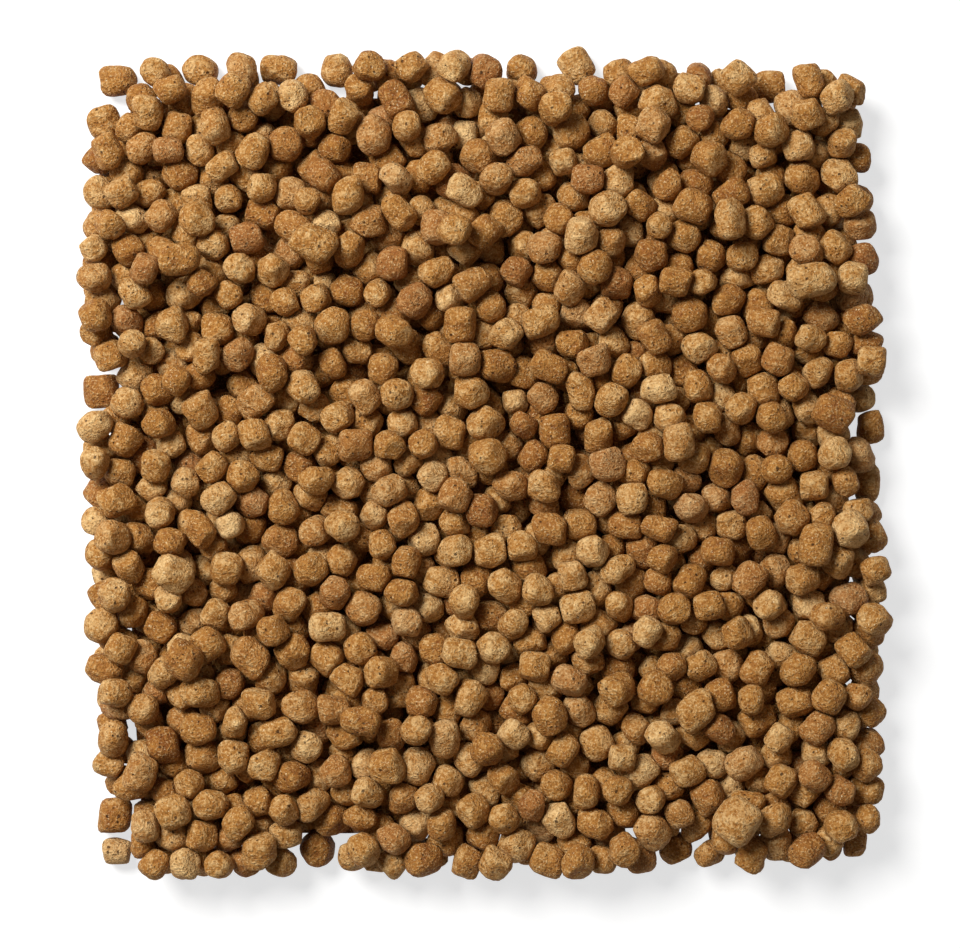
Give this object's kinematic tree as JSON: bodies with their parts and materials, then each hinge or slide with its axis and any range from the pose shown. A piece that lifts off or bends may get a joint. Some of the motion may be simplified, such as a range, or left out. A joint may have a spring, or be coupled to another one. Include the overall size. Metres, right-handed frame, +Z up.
{
  "type": "bed of dry pet food pellets",
  "caption": "Square level bed of small baked pet food pellets, two to three layers deep, with a few free pellets on its top and at its foot.",
  "frame": {"origin": "On the floor, under the middle of the bed", "axes": "+Z up, out of the top of the bed; +X towards its right side and +Y towards its back, as seen from above"},
  "size_m": [0.218, 0.2248, 0.0313],
  "materials": {
    "mixed_kibble": "matt, baked and finely pitted, from tan to brown",
    "tan_kibble": "matt, baked and finely pitted, tan",
    "pale_kibble": "matt, baked and finely pitted, pale golden tan",
    "brown_kibble": "matt, baked and finely pitted, reddish brown"
  },
  "bodies": {
    "root": {"kibble_bed": "mixed_kibble", "foot_pellet_01": "pale_kibble", "foot_pellet_02": "brown_kibble", "foot_pellet_03": "tan_kibble", "foot_pellet_04": "pale_kibble", "foot_pellet_05": "brown_kibble", "foot_pellet_06": "tan_kibble", "foot_pellet_07": "pale_kibble", "foot_pellet_08": "brown_kibble", "foot_pellet_09": "tan_kibble", "foot_pellet_10": "pale_kibble", "foot_pellet_11": "brown_kibble", "foot_pellet_12": "tan_kibble", "foot_pellet_13": "pale_kibble", "foot_pellet_14": "brown_kibble", "foot_pellet_15": "tan_kibble", "foot_pellet_16": "pale_kibble", "top_pellet_01": "pale_kibble", "top_pellet_02": "brown_kibble", "top_pellet_03": "tan_kibble", "top_pellet_04": "pale_kibble", "top_pellet_05": "brown_kibble", "top_pellet_06": "tan_kibble", "top_pellet_07": "pale_kibble", "top_pellet_08": "brown_kibble", "top_pellet_09": "tan_kibble", "top_pellet_10": "pale_kibble"}
  },
  "joints": []
}
